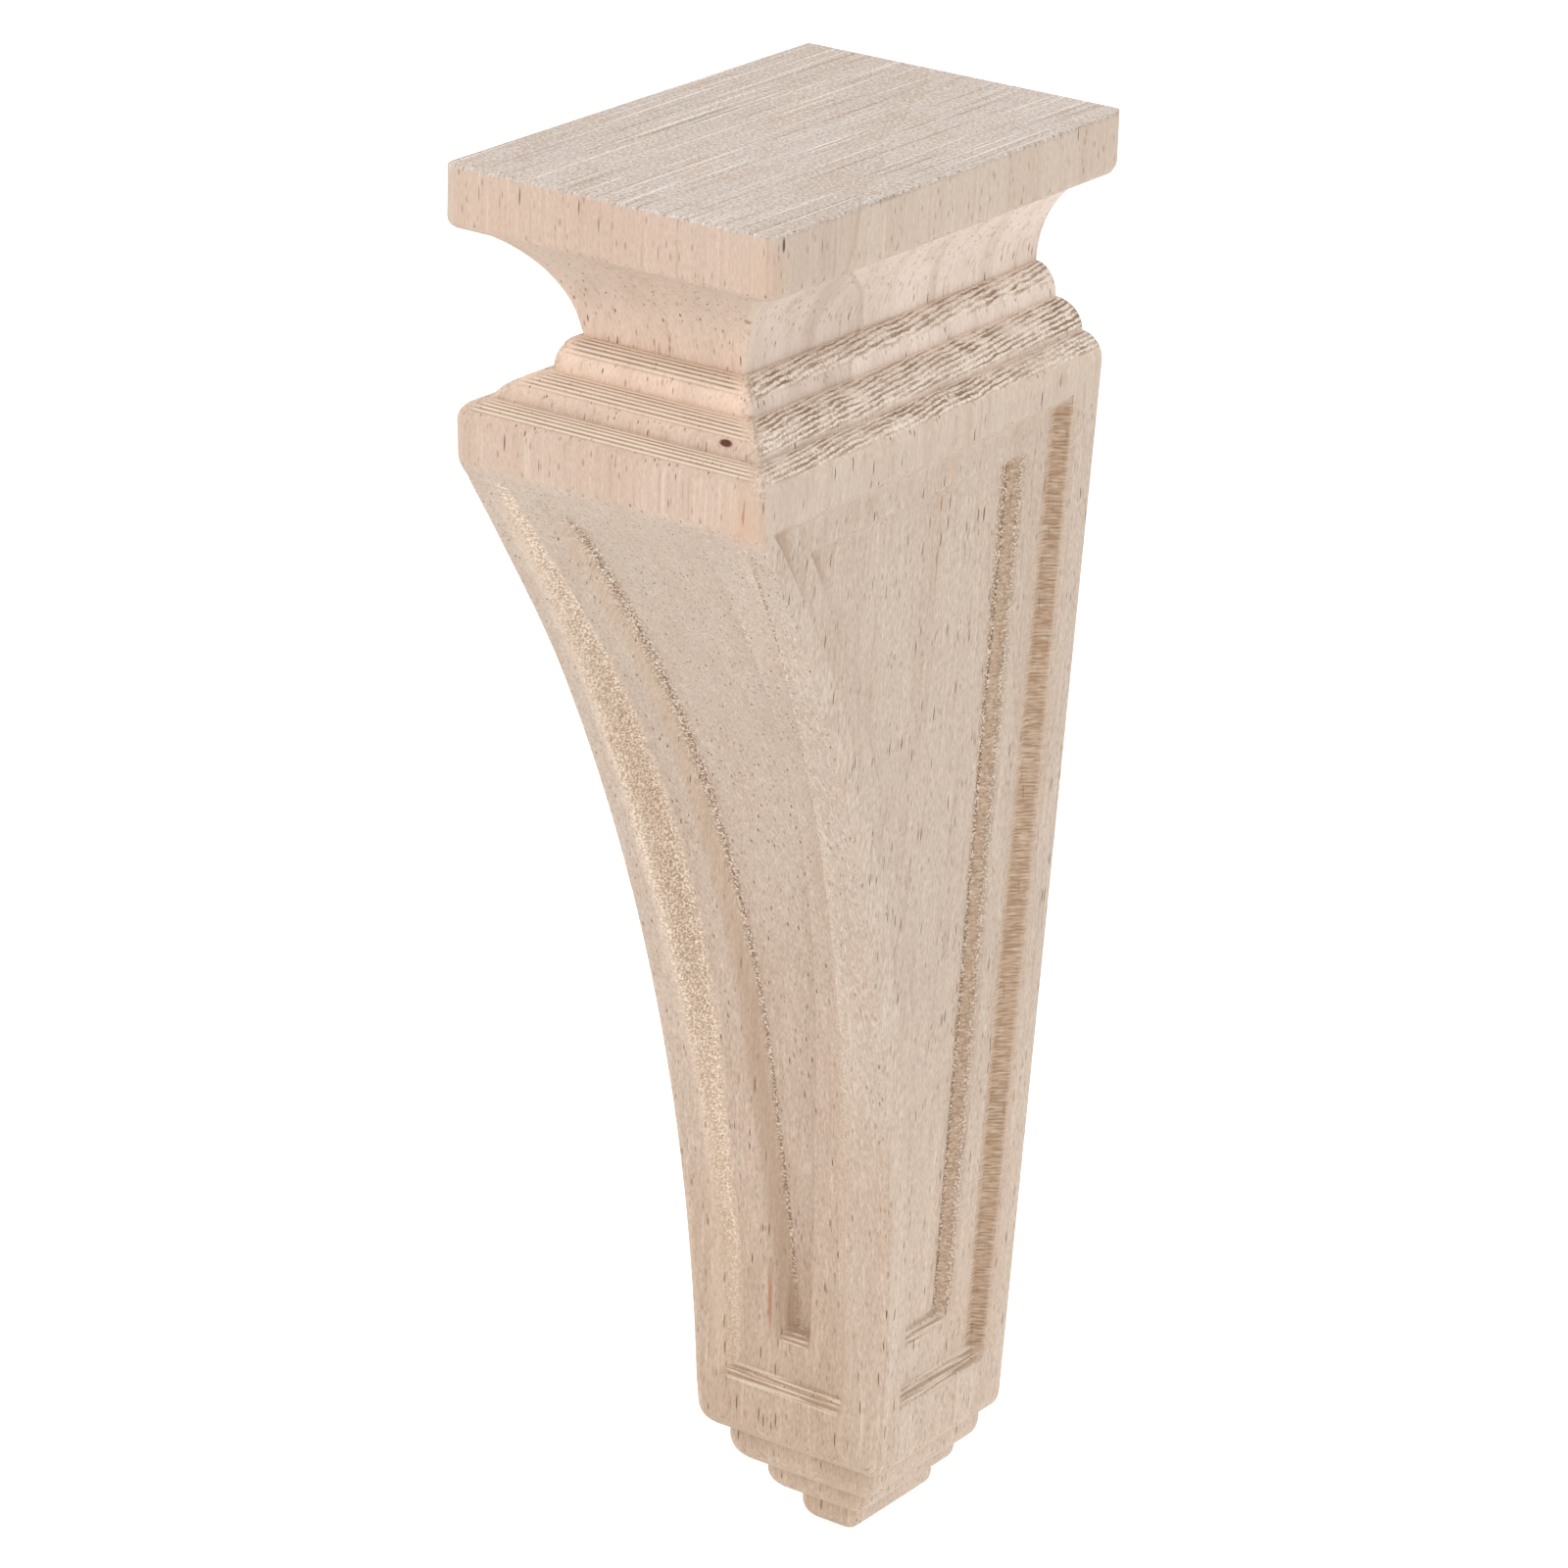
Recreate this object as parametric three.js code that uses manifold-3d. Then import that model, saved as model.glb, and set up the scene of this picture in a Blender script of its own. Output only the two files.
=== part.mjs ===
// Shelf bracket: one carved wooden corbel.
// Millimetres, +Z up. The flat back lies in the plane Y = 0 with the origin at its centre,
// the front faces -Y, and the width runs along X, the same on both sides of X = 0.
import * as THREE from "three";
import { mergeVertices, toCreasedNormals } from "three/addons/utils/BufferGeometryUtils.js";
import Module from "manifold-3d";

// Overall height: the body takes up what the head and the foot leave of it
const HEIGHT = 311;

// Top plate, which the shelf sits on
const PLATE_WIDTH = 76;
const PLATE_DEPTH = 118;
const PLATE_THICKNESS = 12.8;
const PLATE_EDGE_RADIUS = 2.5;

// Head moulding below the plate: a deep cove, a narrow neck and three ovolos
const NECK_WIDTH = 38.2;
const COVE_HEIGHT = 21.4;
const OVOLO_WIDTHS = [48.2, 61.4];
const OVOLO_DROPS = [6.4, 5.7, 5.2];

// Body: vertical fascia, then a front that curves in, on sides that taper
const SHOULDER_WIDTH = 71.2;
const FASCIA_HEIGHT = 6.6;
const FASCIA_EDGE_DROP = 5;
const BODY_FOOT_WIDTH = 46.6;
const BODY_FOOT_DEPTH = 45.3;

// Foot: each tier is a short upright face with a quarter round under it
const FOOT_TIER_WIDTHS = [36.8, 25, 14];
const FOOT_UPRIGHTS = [0, 2.2, 1.8, 2.4];
const FOOT_ROUND_DROPS = [5.8, 6.8, 5.4, 4.6];
const FOOT_TIP_WIDTH = 7;

// Stepped panel on the two sides, measured on the face
const SIDE_PANEL_BELOW_SHOULDER = 8;
const SIDE_PANEL_ABOVE_FOOT = 11.7;
const SIDE_PANEL_BACK_BORDER = 8;
const SIDE_PANEL_FRONT_BORDER = 6.2;
const SIDE_STEP_DEPTH = 2.7;
const SIDE_STEP_SLOPE = 3;
const SIDE_TREAD_BACK = 11;
const SIDE_TREAD_FRONT = 5.5;
const SIDE_TREAD_TOP = 4;
const SIDE_TREAD_BOTTOM = 8;
const SIDE_FIELD_DEPTH = 2.1;
const SIDE_FIELD_SLOPE = 2.2;

// Stepped panel on the curved front: its border widens downwards, and the treads are deepest halfway
const FRONT_PANEL_BELOW_FASCIA = 1.5;
const FRONT_PANEL_ABOVE_FOOT = 10.5;
const FRONT_BORDER_TOP = 5.2;
const FRONT_BORDER_BOTTOM = 10.4;
const FRONT_BORDER_GROWTH = 0.8;
const FRONT_STEP_TOP_DEPTH = 0.8;
const FRONT_STEP_BOTTOM_DEPTH = 2.3;
const FRONT_STEP_MIDDLE_DEPTH = 4.1;
const FRONT_STEP_SLOPE = 2.2;
const FRONT_TREAD = 5.4;
const FRONT_TREAD_TOP = 2.5;
const FRONT_TREAD_BOTTOM = 8;
const FRONT_FIELD_TOP_DEPTH = 1.2;
const FRONT_FIELD_DEPTH = 3.6;
const FRONT_FIELD_RAMP = 30;
const FRONT_FIELD_SLOPE = 2;

// Smoothness of the curves, the sharpest bend that still reads as smooth, and the closest two points may be
const ARC_STEPS = 10;
const FRONT_STEPS = 28;
const CREASE_ANGLE = Math.PI / 6;
const CLOSEST = 0.02;
const MERGE_DISTANCE = 1e-4;

// How far a cutter starts outside the wood
const OUTSIDE = 1;

const WOOD = { color: 0xd9b48f, roughness: 0.75, metalness: 0 };

const total = (sizes) => sizes.reduce((sum, size) => sum + size, 0);
const mix = (a, b, t) => a + (b - a) * t;

// Levels, counted down from the top of the plate
const neckLevel = PLATE_THICKNESS + COVE_HEIGHT;
const shoulderLevel = neckLevel + total(OVOLO_DROPS);
const fasciaLevel = shoulderLevel + FASCIA_HEIGHT;
const footLevel = HEIGHT - total(FOOT_UPRIGHTS) - total(FOOT_ROUND_DROPS);
const top = HEIGHT / 2;

// The head steps out by the same amount to the front as to each side, and so does the foot
const headReach = PLATE_DEPTH - PLATE_WIDTH / 2;
const footReach = BODY_FOOT_DEPTH - BODY_FOOT_WIDTH / 2;
const fasciaDepth = SHOULDER_WIDTH / 2 + headReach;

// A profile is a list of points (out, level): how far it stands out, and how far below the top it is
function quarter(steps, place) {
  return Array.from({ length: steps + 1 }, (_, i) => place((i / steps) * (Math.PI / 2)));
}

// Convex quarter round whose upright end is its lower one: an ovolo seen from above
function ovolo(outFrom, outTo, level, drop) {
  return quarter(ARC_STEPS, (a) => [mix(outFrom, outTo, Math.sin(a)), level + drop * (1 - Math.cos(a))]);
}

// Convex quarter round whose upright end is its upper one: the underside of a tier
function underRound(outFrom, outTo, level, drop) {
  return quarter(ARC_STEPS, (a) => [mix(outFrom, outTo, 1 - Math.cos(a)), level + drop * Math.sin(a)]);
}

// Concave arc that ends upright at (outTo, levelTo): how far out it is at a level
function hollow(outFrom, levelFrom, outTo, levelTo, level) {
  const run = outFrom - outTo;
  const fall = levelTo - levelFrom;
  const radius = (run * run + fall * fall) / (2 * run);
  const above = THREE.MathUtils.clamp(levelTo - level, 0, fall);
  return outTo + radius - Math.sqrt(radius * radius - above * above);
}

function cove(outFrom, levelFrom, outTo, levelTo, steps) {
  return Array.from({ length: steps + 1 }, (_, i) => {
    const level = mix(levelFrom, levelTo, i / steps);
    return [hollow(outFrom, levelFrom, outTo, levelTo, level), level];
  });
}

// Head profile, from the top of the plate down to the shoulder, moved outwards by reach
function headProfile(reach) {
  const half = PLATE_WIDTH / 2 + reach;
  const neck = NECK_WIDTH / 2 + reach;
  const rounds = [NECK_WIDTH, ...OVOLO_WIDTHS, SHOULDER_WIDTH].map((width) => width / 2 + reach);
  const points = [
    ...ovolo(half - PLATE_EDGE_RADIUS, half, 0, PLATE_EDGE_RADIUS),
    ...underRound(half, half - PLATE_EDGE_RADIUS, PLATE_THICKNESS - PLATE_EDGE_RADIUS, PLATE_EDGE_RADIUS),
    ...cove(half - PLATE_EDGE_RADIUS, PLATE_THICKNESS, neck, neckLevel, 2 * ARC_STEPS),
  ];
  let level = neckLevel;
  OVOLO_DROPS.forEach((drop, i) => {
    points.push(...ovolo(rounds[i], rounds[i + 1], level, drop));
    level += drop;
  });
  return points;
}

// Foot profile, from the bottom of the body down to the tip, moved outwards by reach
function footProfile(reach) {
  const widths = [BODY_FOOT_WIDTH, ...FOOT_TIER_WIDTHS, FOOT_TIP_WIDTH].map((width) => width / 2 + reach);
  const points = [];
  let level = footLevel;
  FOOT_ROUND_DROPS.forEach((drop, i) => {
    level += FOOT_UPRIGHTS[i];
    points.push(...underRound(widths[i], widths[i + 1], level, drop));
    level += drop;
  });
  return points;
}

// Half the width of the body at a level: the sides are flat and taper evenly
function bodyHalf(level) {
  return mix(SHOULDER_WIDTH, BODY_FOOT_WIDTH, (level - shoulderLevel) / (footLevel - shoulderLevel)) / 2;
}

// The curved front, from the lower edge of the fascia to the foot
function frontCurve() {
  return cove(fasciaDepth, fasciaLevel, BODY_FOOT_DEPTH, footLevel, FRONT_STEPS);
}

// How far the front stands out from the back at a level of the body
function frontDepth(level) {
  return hollow(fasciaDepth, fasciaLevel, BODY_FOOT_DEPTH, footLevel, level);
}

// The lower edge of the fascia is eased: the last of its face bends into the curve
function easedFront() {
  const edge = fasciaLevel;
  const start = [fasciaDepth, edge - FASCIA_EDGE_DROP / 2];
  const end = [frontDepth(edge + FASCIA_EDGE_DROP), edge + FASCIA_EDGE_DROP];
  const bend = new THREE.QuadraticBezierCurve(
    new THREE.Vector2(...start),
    new THREE.Vector2(fasciaDepth, edge),
    new THREE.Vector2(...end),
  );
  const below = frontCurve().filter(([, level]) => level > end[1]);
  return [...bend.getPoints(ARC_STEPS).map((p) => [p.x, p.y]), ...below];
}

const wasm = await Module();
wasm.setup();

// A closed three.js geometry as a solid, and back
function solidOf(geometry) {
  const bare = geometry.clone();
  bare.deleteAttribute("normal");
  bare.deleteAttribute("uv");
  const merged = mergeVertices(bare, MERGE_DISTANCE);
  const mesh = new wasm.Mesh({
    numProp: 3,
    vertProperties: new Float32Array(merged.attributes.position.array),
    triVerts: new Uint32Array(merged.index.array),
  });
  return new wasm.Manifold(mesh);
}

function geometryOf(solid) {
  const mesh = solid.getMesh();
  const geometry = new THREE.BufferGeometry();
  geometry.setAttribute("position", new THREE.BufferAttribute(new Float32Array(mesh.vertProperties), 3));
  geometry.setIndex(new THREE.BufferAttribute(new Uint32Array(mesh.triVerts), 1));
  return toCreasedNormals(geometry, CREASE_ANGLE);
}

// Points that fall on the one before them are dropped
function distinct(points) {
  return points.filter(([x, y], i) => {
    const last = points[i - 1];
    return !last || Math.hypot(x - last[0], y - last[1]) > CLOSEST;
  });
}

// The outline seen from the front, run through the whole depth
function frontPrism() {
  const right = distinct([
    ...headProfile(0),
    [bodyHalf(footLevel), footLevel],
    ...footProfile(0),
  ]).map(([out, level]) => new THREE.Vector2(out, top - level));
  const left = right.map((p) => new THREE.Vector2(-p.x, p.y)).reverse();
  const shape = new THREE.Shape([...right, ...left]);
  const depth = PLATE_DEPTH + 2 * OUTSIDE;
  const geometry = new THREE.ExtrudeGeometry(shape, { depth, bevelEnabled: false });
  geometry.rotateX(Math.PI / 2);
  geometry.translate(0, OUTSIDE, 0);
  return solidOf(geometry);
}

// The outline seen from the side, run through the whole width
function sidePrism() {
  const front = distinct([
    ...headProfile(headReach),
    ...easedFront(),
    ...footProfile(footReach),
  ]).map(([out, level]) => new THREE.Vector2(-out, top - level));
  const back = [new THREE.Vector2(0, -top), new THREE.Vector2(0, top)];
  const shape = new THREE.Shape([...front, ...back]);
  const depth = PLATE_WIDTH + 2 * OUTSIDE;
  const geometry = new THREE.ExtrudeGeometry(shape, { depth, bevelEnabled: false });
  geometry.rotateX(Math.PI / 2);
  geometry.rotateZ(Math.PI / 2);
  geometry.translate(-PLATE_WIDTH / 2 - OUTSIDE, 0, 0);
  return solidOf(geometry);
}

// A closed solid through a row of four-cornered sections, each an array of points
function loft(sections) {
  const corners = sections.flat();
  const triangles = [];
  const quad = (a, b, c, d) => triangles.push(a, b, c, a, c, d);
  for (let row = 0; row < sections.length - 1; row += 1) {
    for (let side = 0; side < 4; side += 1) {
      const next = (side + 1) % 4;
      quad(row * 4 + side, row * 4 + next, row * 4 + 4 + next, row * 4 + 4 + side);
    }
  }
  const last = (sections.length - 1) * 4;
  quad(3, 2, 1, 0);
  quad(last, last + 1, last + 2, last + 3);
  const geometry = new THREE.BufferGeometry();
  geometry.setAttribute("position", new THREE.Float32BufferAttribute(corners.flat(), 3));
  geometry.setIndex(triangles);
  return solidOf(geometry);
}

// Levels of a panel cut, with the share of its depth that each has: the two ends slope up to the face
function panelLevels(from, to, slope, steps) {
  const inner = Array.from({ length: steps + 1 }, (_, i) => {
    return { level: mix(from + slope, to - slope, i / steps), share: 1 };
  });
  return [{ level: from, share: 0 }, ...inner, { level: to, share: 0 }];
}

// One step of a side panel. edge gives, at a level, the rear and front limits on the face
function sideCut(sign, from, to, edge, depthBefore, depth, slope) {
  const sections = panelLevels(from, to, slope, FRONT_STEPS).map(({ level, share }) => {
    const { rear, front } = edge(level);
    const face = bodyHalf(level) - depthBefore;
    const inset = slope * share;
    const flare = (slope / depth) * OUTSIDE;
    const floor = face - depth * share;
    const z = top - level;
    const outer = face + depthBefore + OUTSIDE;
    const spread = depthBefore > 0 ? 0 : flare;
    const section = [
      [sign * outer, -(rear - spread), z],
      [sign * outer, -(front + spread), z],
      [sign * floor, -(front - inset), z],
      [sign * floor, -(rear + inset), z],
    ];
    return sign > 0 ? section : section.reverse();
  });
  return loft(sections);
}

// The outer step and the inner field of the panel on one side
function sidePanel(sign) {
  const from = shoulderLevel + SIDE_PANEL_BELOW_SHOULDER;
  const to = footLevel - SIDE_PANEL_ABOVE_FOOT;
  const outerEdge = (level) => ({
    rear: SIDE_PANEL_BACK_BORDER,
    front: frontDepth(level) - SIDE_PANEL_FRONT_BORDER,
  });
  const fieldEdge = (level) => ({
    rear: SIDE_PANEL_BACK_BORDER + SIDE_STEP_SLOPE + SIDE_TREAD_BACK,
    front: frontDepth(level) - SIDE_PANEL_FRONT_BORDER - SIDE_STEP_SLOPE - SIDE_TREAD_FRONT,
  });
  const fieldFrom = from + SIDE_STEP_SLOPE + SIDE_TREAD_TOP;
  const fieldTo = to - SIDE_STEP_SLOPE - SIDE_TREAD_BOTTOM;
  return [
    sideCut(sign, from, to, outerEdge, 0, SIDE_STEP_DEPTH, SIDE_STEP_SLOPE),
    sideCut(sign, fieldFrom, fieldTo, fieldEdge, SIDE_STEP_DEPTH, SIDE_FIELD_DEPTH, SIDE_FIELD_SLOPE),
  ];
}

const frontPanelFrom = fasciaLevel + FRONT_PANEL_BELOW_FASCIA;
const frontPanelTo = footLevel - FRONT_PANEL_ABOVE_FOOT;

const frontShare = (level) => (level - frontPanelFrom) / (frontPanelTo - frontPanelFrom);

// Depth of the front treads below the face
function frontStepDepth(level) {
  const share = frontShare(level);
  const ends = mix(FRONT_STEP_TOP_DEPTH, FRONT_STEP_BOTTOM_DEPTH, share);
  return ends + FRONT_STEP_MIDDLE_DEPTH * Math.sin(Math.PI * share);
}

// Depth of the field below the face: its own step grows over the ramp at the top
function frontFieldDepth(level) {
  const ramp = Math.min((level - frontPanelFrom) / FRONT_FIELD_RAMP, 1);
  return frontStepDepth(level) + mix(FRONT_FIELD_TOP_DEPTH, FRONT_FIELD_DEPTH, ramp);
}

// Half the width of the front panel at a level
function frontPanelHalf(level) {
  const border = mix(FRONT_BORDER_TOP, FRONT_BORDER_BOTTOM, Math.pow(frontShare(level), FRONT_BORDER_GROWTH));
  return bodyHalf(level) - border;
}

// One step of the front panel, cut down to depthAt(level) below the curved face
function frontCut(from, to, halfAt, depthAt, slope) {
  const sections = panelLevels(from, to, slope, FRONT_STEPS).map(({ level, share }) => {
    const half = halfAt(level);
    const face = frontDepth(level);
    const depth = depthAt(level) * share;
    const z = top - level;
    return [
      [half, -face - OUTSIDE, z],
      [-half, -face - OUTSIDE, z],
      [-(half - slope * share), -(face - depth), z],
      [half - slope * share, -(face - depth), z],
    ];
  });
  return loft(sections);
}

function frontPanel() {
  const fieldHalf = (level) => frontPanelHalf(level) - FRONT_STEP_SLOPE - FRONT_TREAD;
  const fieldTo = frontPanelTo - FRONT_STEP_SLOPE - FRONT_TREAD_BOTTOM;
  return [
    frontCut(frontPanelFrom, frontPanelTo, frontPanelHalf, frontStepDepth, FRONT_STEP_SLOPE),
    frontCut(frontPanelFrom + FRONT_TREAD_TOP, fieldTo, fieldHalf, frontFieldDepth, FRONT_FIELD_SLOPE),
  ];
}

function corbel() {
  let solid = frontPrism().intersect(sidePrism());
  for (const cut of [...sidePanel(1), ...sidePanel(-1), ...frontPanel()]) {
    solid = solid.subtract(cut);
  }
  const mesh = new THREE.Mesh(geometryOf(solid), new THREE.MeshStandardMaterial(WOOD));
  mesh.name = "corbel";
  return mesh;
}

const bracket = new THREE.Group();
bracket.add(corbel());

export default bracket;
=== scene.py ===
import math

import bmesh
import bpy
from mathutils import Matrix, Vector, noise


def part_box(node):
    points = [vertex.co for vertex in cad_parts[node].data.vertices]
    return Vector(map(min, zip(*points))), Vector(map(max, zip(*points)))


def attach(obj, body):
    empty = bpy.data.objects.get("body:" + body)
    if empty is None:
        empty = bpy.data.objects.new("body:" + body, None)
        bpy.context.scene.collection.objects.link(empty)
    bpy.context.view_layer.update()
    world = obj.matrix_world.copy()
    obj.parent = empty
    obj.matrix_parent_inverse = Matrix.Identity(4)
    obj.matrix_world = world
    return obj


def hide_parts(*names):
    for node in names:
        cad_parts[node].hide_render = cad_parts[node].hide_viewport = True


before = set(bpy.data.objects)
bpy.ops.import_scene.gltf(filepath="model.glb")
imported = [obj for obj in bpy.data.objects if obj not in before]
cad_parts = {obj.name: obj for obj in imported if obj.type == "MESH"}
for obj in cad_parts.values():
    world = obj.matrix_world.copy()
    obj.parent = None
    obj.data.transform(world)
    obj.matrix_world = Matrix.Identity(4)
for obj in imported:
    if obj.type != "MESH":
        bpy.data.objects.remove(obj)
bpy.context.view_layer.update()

# The carved wooden shelf bracket in bare rubberwood. Shapes are worked out in millimetres from the packed
# solid's box, on levels counted down from the top of the plate, and scaled to metres as they are placed.
MM = 0.001
low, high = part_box("corbel")
WIDTH = (high[0] - low[0]) / MM
DEPTH = (high[1] - low[1]) / MM
HEIGHT = (high[2] - low[2]) / MM
TOP = high[2] / MM

# Head: plate, cove, neck and three ovolos. The head stands out as far to the front as to each side
PLATE_HALF = WIDTH / 2
PLATE_THICKNESS = 12.8
PLATE_TOP_ROUND = 0.6
PLATE_FOOT_ROUND = 2.3
NECK_HALF = 19.1
NECK_LEVEL = 34.2
OVOLO_HALVES = (NECK_HALF, 24.1, 30.7, 35.6)
OVOLO_LEVELS = (NECK_LEVEL, 40.6, 46.3, 51.5)
HEAD_REACH = DEPTH - PLATE_HALF

# Body: vertical fascia and a front that curves in, between sides that taper
SHOULDER_LEVEL = OVOLO_LEVELS[-1]
SHOULDER_HALF = OVOLO_HALVES[-1]
FASCIA_LEVEL = 58.1
FASCIA_EASE = 5.0
FASCIA_DEPTH = SHOULDER_HALF + HEAD_REACH
BODY_FOOT_LEVEL = 282.0
BODY_FOOT_HALF = 23.3
BODY_FOOT_DEPTH = 45.3

# Foot tiers: where each quarter round starts and ends, as (half width, level)
FOOT_REACH = BODY_FOOT_DEPTH - BODY_FOOT_HALF
FOOT_ROUNDS = (
    ((23.3, 282.0), (18.4, 287.8)),
    ((18.4, 290.0), (12.5, 296.8)),
    ((12.5, 298.6), (7.0, 304.0)),
    ((7.0, 306.4), (3.5, HEIGHT)),
)

# Side panel: levels and distances of its walls, and how deep its two steps go
SIDE_BORDER_BACK, SIDE_BORDER_FRONT = 8.0, 6.3
SIDE_WALL = 3.0
SIDE_FIELD_BACK, SIDE_FIELD_FRONT = 22.0, 14.8
SIDE_FIELD_WALL = 2.2
SIDE_OUTER_LEVELS = (56.5, 272.0)
SIDE_FIELD_LEVELS = (66.0, 258.5)
# Slopes of the ends of the side panel, which drop towards the front
SIDE_TOP_SLOPE, SIDE_FIELD_TOP_SLOPE, SIDE_FIELD_FOOT_SLOPE = 0.022, 0.02, 0.09
SIDE_BORDER_TOP_SHIFT, SIDE_FIELD_FRONT_SHIFT = 2.0, 3.8
SIDE_OUTER_DEPTH, SIDE_FIELD_DEPTH = 2.7, 2.0
SIDE_BACK_TOP_SHIFT, SIDE_WALL_FOOT_SHIFT, SIDE_FIELD_FOOT_SHIFT = 1.4, 1.2, 2.2
# Levels over which those shifts fade in or out
SIDE_BACK_SPAN, SIDE_WALL_SPAN, SIDE_FIELD_SPAN = (60, 170), (180, 260), (120, 255)
SIDE_BORDER_SPAN, SIDE_FIELD_FRONT_SPAN = (64, 98), (180, 255)
# Front depth below which the walls of a side panel are drawn together, as on the foot
SIDE_FULL_DEPTH = 45.0

# Front panel, which follows the curve. Its treads are deepest a third of the way down
FRONT_OUTER_LEVELS = (59.6, 273.8)
FRONT_FIELD_LEVELS = (61.0, 262.5)
FRONT_BORDER_TOP, FRONT_BORDER_SPREAD = 4.8, 5.8
FRONT_WALL, FRONT_FIELD_WALL = 2.6, 2.2
FRONT_FIELD_EDGE_TOP, FRONT_FIELD_EDGE_FOOT = 16.6, 20.4
FRONT_STEP_DEPTH, FRONT_STEP_EXTRA = 2.4, 3.9
FRONT_STEP_SETTLED, FRONT_STEP_EXTRA_END = 120.0, 215.0
FRONT_STEP_BIAS = 0.9
FRONT_FIELD_DEPTH = 4.0
FRONT_BORDER_SPAN, FRONT_FIELD_SPAN = (60, 225), (60, 250)
FRONT_BORDER_FOOT_IN, FRONT_BORDER_FOOT_SPAN = 0.9, (235, 272)
FIELD_TOP_RUN = 16.0
SILL_RUN = 2.2
# The wall on the left lies a little differently: where its foot runs, and how wide it is
LEFT_FOOT_TOP, LEFT_FOOT_SPREAD, LEFT_WALL = 8.0, 2.8, 3.2
LEFT_FIELD_TOP_SHIFT, LEFT_FIELD_WALL_EXTRA = 1.6, 1.5
LEFT_FOOT_SPAN, LEFT_FIELD_TOP_SPAN = (70, 200), (60, 200)
LEFT_FOOT_IN, LEFT_FOOT_IN_SPAN = 1.5, (245, 272)
# Most that the walls may take of the front between the corners, on the narrow tiers of the foot
DRAWN_SHARE = 0.93

# The left side stands a little further out or in than the right: (level, how much further out)
LEFT_EXTRAS = (
    (12.8, 0.0), (14.0, 3.0), (19.0, 3.0), (24.0, 2.2), (33.0, 0.3), (36.0, -1.4), (41.5, -2.4), (45.0, 0.0),
    (47.5, 1.0), (80.0, 1.1), (105.0, 0.0),
)

# Cutter ridges over the upper part of each ovolo: fine and even on the front, torn on the sides
OVOLO_RIDGES = (6.0, 7.0, 6.0)
TORN_RIDGES, TORN_DRIFT = (4.6, 5.6, 4.8), 14.0
RIDGED_SHARE = 0.66
TORN_SHARES = (0.72, 0.97, 0.75)
RIDGE_DEPTH, TORN_DEPTH = 0.13, 0.09

# Fine rungs that the cutter left across the outer wall of a side panel
RUNG_SPACING = 0.8

# Columns of the mesh in each span, from the back round to the front, and its row spacing on the body
SIDE_COLUMNS = (3, 5, 4, 4, 22, 4, 4, 5, 4)
FRONT_COLUMNS = (5, 6, 5, 6, 6)
CORNER_COLUMNS = 3
BACK_COLUMNS = 6
ROW_STEP = 0.85
# Rows of the mesh on the plate, the cove, each ovolo and each tier of the foot
PLATE_TOP_ROWS, PLATE_ROWS, PLATE_FOOT_ROWS, COVE_ROWS = 5, 7, 6, 34
RIDGED_ROWS, PLAIN_ROWS, FILLET_ROWS, ROUND_ROWS = 36, 16, 3, 9
COVE_CROWDING = 1.35
CAP_INSET = 2.0
BACK_CORNER_CUT = 1.3
MERGE_DISTANCE = 0.01
SHARP_ANGLE = math.radians(38)

# Rounding of the two upright front corners, and what the plate, fascia and foot add to it
CORNER_ROUND, CORNER_SHARE = 0.6, 0.5
PLATE_ROUND_EXTRA, PLATE_ROUND_FALL = 1.4, (11, 16)
FASCIA_ROUND_EXTRA, FASCIA_ROUND_RISE, FASCIA_ROUND_FALL = 1.05, (48, 52), (58, 66)
FOOT_ROUND_EXTRA, FOOT_ROUND_RISE = 0.91, (276, 284)


def clamp(value, lowest=0.0, highest=1.0):
    return min(max(value, lowest), highest)


def mix(a, b, share):
    return a + (b - a) * share


def ramp(value, start, end):
    return clamp((value - start) / (end - start))


def ease(value, start, end):
    share = ramp(value, start, end)
    return share * share * (3 - 2 * share)


def spread(start, end, count):
    """Evenly spaced values after start, up to and with end."""
    return [mix(start, end, (i + 1) / count) for i in range(count)]


def hollow(out_from, level_from, out_to, level_to, level):
    """How far out a concave arc is at a level, where it ends upright at (out_to, level_to)."""
    run, fall = out_from - out_to, level_to - level_from
    radius = (run * run + fall * fall) / (2 * run)
    above = clamp(level_to - level, 0, fall)
    return out_to + radius - math.sqrt(radius * radius - above * above)


def body_half(level):
    return mix(SHOULDER_HALF, BODY_FOOT_HALF, (level - SHOULDER_LEVEL) / (BODY_FOOT_LEVEL - SHOULDER_LEVEL))


def body_front(level):
    """Depth of the front: the lower edge of the fascia is eased into the curve."""
    start, end = FASCIA_LEVEL - FASCIA_EASE / 2, FASCIA_LEVEL + FASCIA_EASE
    if level <= start:
        return FASCIA_DEPTH
    curve = hollow(FASCIA_DEPTH, FASCIA_LEVEL, BODY_FOOT_DEPTH, BODY_FOOT_LEVEL, max(level, FASCIA_LEVEL))
    return mix(FASCIA_DEPTH, curve, ease(level, start, end))


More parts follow.
